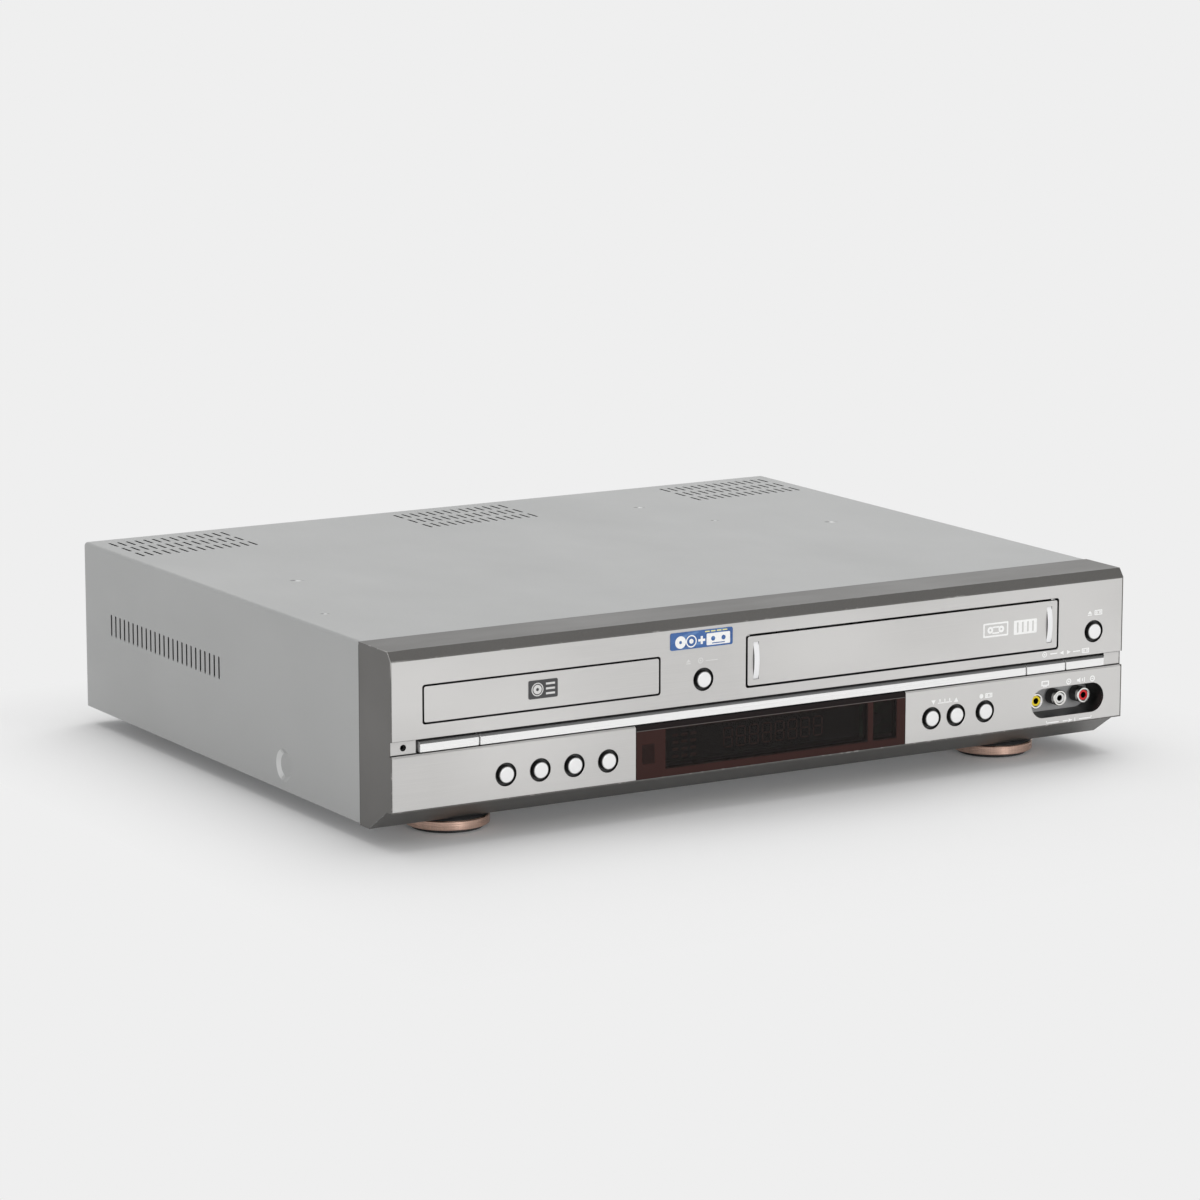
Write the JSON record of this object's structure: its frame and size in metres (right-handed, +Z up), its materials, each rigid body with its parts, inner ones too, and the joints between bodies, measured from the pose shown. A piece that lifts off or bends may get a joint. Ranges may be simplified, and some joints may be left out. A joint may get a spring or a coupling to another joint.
{
  "type": "dvd vcr combo player",
  "caption": "Low silver case with a disc tray on the left, a cassette door on the right, a groove of bar buttons, round buttons and a smoked display window.",
  "frame": {"origin": "on the floor under the middle of the whole object's box, rear sockets and button caps included", "axes": "+X to the viewer's right when facing the front, +Y to the rear, +Z up"},
  "size_m": [0.43, 0.3532, 0.098],
  "materials": {
    "cover_paint": "fine satin silver-grey paint",
    "chassis_steel": "zinc-plated sheet",
    "frame_plastic": "dark metallic grey paint",
    "fascia_silver": "fine horizontal brushed grain",
    "smoked_window": "polished dark red-brown",
    "bar_silver": "satin bright silver",
    "lens_white": "polished light-guide plastic",
    "black_plastic": "fine moulded grain",
    "copper_ring": "rose-copper anodised, turned",
    "screw_steel": "plated",
    "socket_grey": "silver-grey moulding",
    "socket_metal": "plated contact shell",
    "socket_yellow": "moulded",
    "socket_white": "moulded",
    "socket_red": "moulded",
    "circuit_board": "solder-resist green",
    "power_board": "paper laminate, brown",
    "display_glass": "dark filter glass",
    "grey_plastic": "moulded",
    "nylon_white": "moulded acetal",
    "belt_rubber": "moulded",
    "pulley_brass": "turned",
    "deck_steel": "zinc-plated sheet",
    "drum_metal": "turned",
    "connector_mix": "moulded and plated"
  },
  "bodies": {
    "case": {"top_cover": "cover_paint", "base_chassis": "chassis_steel", "rear_panel": "cover_paint", "front_frame": "frame_plastic", "upper_fascia": "fascia_silver", "lower_fascia": "fascia_silver", "display_window": "smoked_window", "trim_bar": "bar_silver", "feet": "black_plastic", "foot_rings": "copper_ring", "cover_screws": "screw_steel", "front_jack_block": "socket_grey", "front_jack_shells": "socket_metal", "jack_insert_yellow": "socket_yellow", "jack_insert_white": "socket_white", "jack_insert_red": "socket_red", "front_board": "circuit_board", "display_tube": "display_glass", "loader_frame": "black_plastic", "loader_belt": "belt_rubber", "loader_motor": "chassis_steel", "clamp_bridge": "deck_steel", "deck_plate": "deck_steel", "lower_drum": "drum_metal", "carrier_guides": "deck_steel", "main_board": "circuit_board", "power_supply": "power_board", "rear_sockets": "connector_mix"},
    "left_button_1": {"left_button_1": "bar_silver"},
    "left_button_2": {"left_button_2": "bar_silver"},
    "left_button_3": {"left_button_3": "bar_silver"},
    "left_button_4": {"left_button_4": "bar_silver"},
    "channel_down_button": {"channel_down_button": "bar_silver"},
    "channel_up_button": {"channel_up_button": "bar_silver"},
    "record_button": {"record_button": "bar_silver"},
    "open_close_button": {"open_close_button": "bar_silver"},
    "eject_button": {"eject_button": "bar_silver"},
    "power_button": {"power_button": "bar_silver"},
    "disc_select_button": {"disc_select_button": "bar_silver"},
    "tape_select_button": {"tape_select_button": "bar_silver"},
    "cassette_door": {"cassette_door": "fascia_silver", "door_lenses": "lens_white"},
    "disc_tray": {"disc_tray": "grey_plastic", "tray_front": "fascia_silver"},
    "tray_gear": {"tray_gear": "nylon_white"},
    "pulley_gear": {"pulley_gear": "nylon_white"},
    "motor_pulley": {"motor_pulley": "pulley_brass"},
    "clamper": {"clamper": "nylon_white"},
    "traverse": {"traverse": "grey_plastic"},
    "turntable": {"turntable": "deck_steel"},
    "pickup_sled": {"pickup_sled": "black_plastic"},
    "sled_screw": {"sled_screw": "screw_steel"},
    "upper_drum": {"upper_drum": "drum_metal"},
    "capstan": {"capstan": "screw_steel"},
    "pinch_arm": {"pinch_arm": "deck_steel"},
    "pinch_roller": {"pinch_roller": "belt_rubber"},
    "supply_reel": {"supply_reel": "nylon_white"},
    "takeup_reel": {"takeup_reel": "nylon_white"},
    "carrier_slider": {"carrier_slider": "deck_steel"},
    "cassette_carrier": {"cassette_carrier": "deck_steel"}
  },
  "joints": [
    {"name": "left_button_1_press", "type": "slide", "parent": "case", "child": "left_button_1", "axis": [0, 1, 0], "range_m": [0, 0.0009], "stiffness_N_per_m": 1200, "springref_m": -0.0004},
    {"name": "left_button_2_press", "type": "slide", "parent": "case", "child": "left_button_2", "axis": [0, 1, 0], "range_m": [0, 0.0009], "stiffness_N_per_m": 1200, "springref_m": -0.0004},
    {"name": "left_button_3_press", "type": "slide", "parent": "case", "child": "left_button_3", "axis": [0, 1, 0], "range_m": [0, 0.0009], "stiffness_N_per_m": 1200, "springref_m": -0.0004},
    {"name": "left_button_4_press", "type": "slide", "parent": "case", "child": "left_button_4", "axis": [0, 1, 0], "range_m": [0, 0.0009], "stiffness_N_per_m": 1200, "springref_m": -0.0004},
    {"name": "channel_down_button_press", "type": "slide", "parent": "case", "child": "channel_down_button", "axis": [0, 1, 0], "range_m": [0, 0.0009], "stiffness_N_per_m": 1200, "springref_m": -0.0004},
    {"name": "channel_up_button_press", "type": "slide", "parent": "case", "child": "channel_up_button", "axis": [0, 1, 0], "range_m": [0, 0.0009], "stiffness_N_per_m": 1200, "springref_m": -0.0004},
    {"name": "record_button_press", "type": "slide", "parent": "case", "child": "record_button", "axis": [0, 1, 0], "range_m": [0, 0.0009], "stiffness_N_per_m": 1200, "springref_m": -0.0004},
    {"name": "open_close_button_press", "type": "slide", "parent": "case", "child": "open_close_button", "axis": [0, 1, 0], "range_m": [0, 0.0009], "stiffness_N_per_m": 1200, "springref_m": -0.0004},
    {"name": "eject_button_press", "type": "slide", "parent": "case", "child": "eject_button", "axis": [0, 1, 0], "range_m": [0, 0.0009], "stiffness_N_per_m": 1200, "springref_m": -0.0004},
    {"name": "power_button_press", "type": "slide", "parent": "case", "child": "power_button", "axis": [0, 1, 0], "range_m": [0, 0.0009], "stiffness_N_per_m": 1200, "springref_m": -0.0004},
    {"name": "disc_select_button_press", "type": "slide", "parent": "case", "child": "disc_select_button", "axis": [0, 1, 0], "range_m": [0, 0.0009], "stiffness_N_per_m": 1200, "springref_m": -0.0004},
    {"name": "tape_select_button_press", "type": "slide", "parent": "case", "child": "tape_select_button", "axis": [0, 1, 0], "range_m": [0, 0.0009], "stiffness_N_per_m": 1200, "springref_m": -0.0004},
    {"name": "cassette_door_swing", "type": "hinge", "parent": "case", "child": "cassette_door", "pos_m": [0.07895, -0.17045, 0.0915], "axis": [1, 0, 0], "range_deg": [0, 88], "stiffness_Nm_per_rad": 0.004, "springref_deg": -45.84},
    {"name": "tray_slide", "type": "slide", "parent": "case", "child": "disc_tray", "axis": [0, -1, 0], "range_m": [0, 0.138]},
    {"name": "tray_gear_spin", "type": "hinge", "parent": "case", "child": "tray_gear", "pos_m": [-0.17475, -0.15145, 0.059], "axis": [0, 0, 1], "range_deg": [0, 879]},
    {"name": "pulley_gear_spin", "type": "hinge", "parent": "case", "child": "pulley_gear", "pos_m": [-0.15275, -0.15145, 0.055], "axis": [0, 0, 1], "range_deg": [-2343, 0]},
    {"name": "motor_pulley_spin", "type": "hinge", "parent": "case", "child": "motor_pulley", "pos_m": [-0.11775, -0.14545, 0.053], "axis": [0, 0, 1], "range_deg": [-8200, 0]},
    {"name": "clamper_spin", "type": "hinge", "parent": "case", "child": "clamper", "pos_m": [-0.13175, -0.10345, 0.079], "axis": [0, 0, 1], "continuous": true},
    {"name": "traverse_lift", "type": "hinge", "parent": "case", "child": "traverse", "pos_m": [-0.13175, -0.00545, 0.056], "axis": [-1, 0, 0], "range_deg": [0, 4.51]},
    {"name": "turntable_spin", "type": "hinge", "parent": "traverse", "child": "turntable", "pos_m": [-0.13175, -0.10345, 0.064], "axis": [0, 0, 1], "continuous": true},
    {"name": "pickup_slide", "type": "slide", "parent": "traverse", "child": "pickup_sled", "axis": [0, 1, 0], "range_m": [0, 0.035]},
    {"name": "sled_screw_spin", "type": "hinge", "parent": "traverse", "child": "sled_screw", "pos_m": [-0.10075, -0.05545, 0.059], "axis": [0, 1, 0], "range_deg": [0, 4200]},
    {"name": "upper_drum_spin", "type": "hinge", "parent": "case", "child": "upper_drum", "pos_m": [0.07895, 0.00055, 0.039], "axis": [0, -0.0872, 0.9962], "continuous": true},
    {"name": "capstan_spin", "type": "hinge", "parent": "case", "child": "capstan", "pos_m": [0.14095, -0.03745, 0.035], "axis": [0, 0, 1], "continuous": true},
    {"name": "pinch_arm_swing", "type": "hinge", "parent": "case", "child": "pinch_arm", "pos_m": [0.15895, -0.01045, 0.037], "axis": [0, 0, 1], "range_deg": [0, 45]},
    {"name": "pinch_roller_spin", "type": "hinge", "parent": "pinch_arm", "child": "pinch_roller", "pos_m": [0.129, -0.00872, 0.047], "axis": [0, 0, 1], "continuous": true},
    {"name": "supply_reel_spin", "type": "hinge", "parent": "case", "child": "supply_reel", "pos_m": [0.03295, -0.09945, 0.039], "axis": [0, 0, 1], "continuous": true},
    {"name": "takeup_reel_spin", "type": "hinge", "parent": "case", "child": "takeup_reel", "pos_m": [0.12495, -0.09945, 0.039], "axis": [0, 0, 1], "continuous": true},
    {"name": "carrier_in", "type": "slide", "parent": "case", "child": "carrier_slider", "axis": [0, 1, 0], "range_m": [0, 0.064]},
    {"name": "carrier_down", "type": "slide", "parent": "carrier_slider", "child": "cassette_carrier", "axis": [0, 0, -1], "range_m": [0, 0.018]}
  ],
  "couplings": [
    {"joint": "tray_gear_spin", "follows": "tray_slide", "rad_per_m": 111.11},
    {"joint": "pulley_gear_spin", "follows": "tray_slide", "rad_per_m": -296.3},
    {"joint": "motor_pulley_spin", "follows": "tray_slide", "rad_per_m": -1037},
    {"joint": "sled_screw_spin", "follows": "pickup_slide", "rad_per_m": 2094.4}
  ]
}
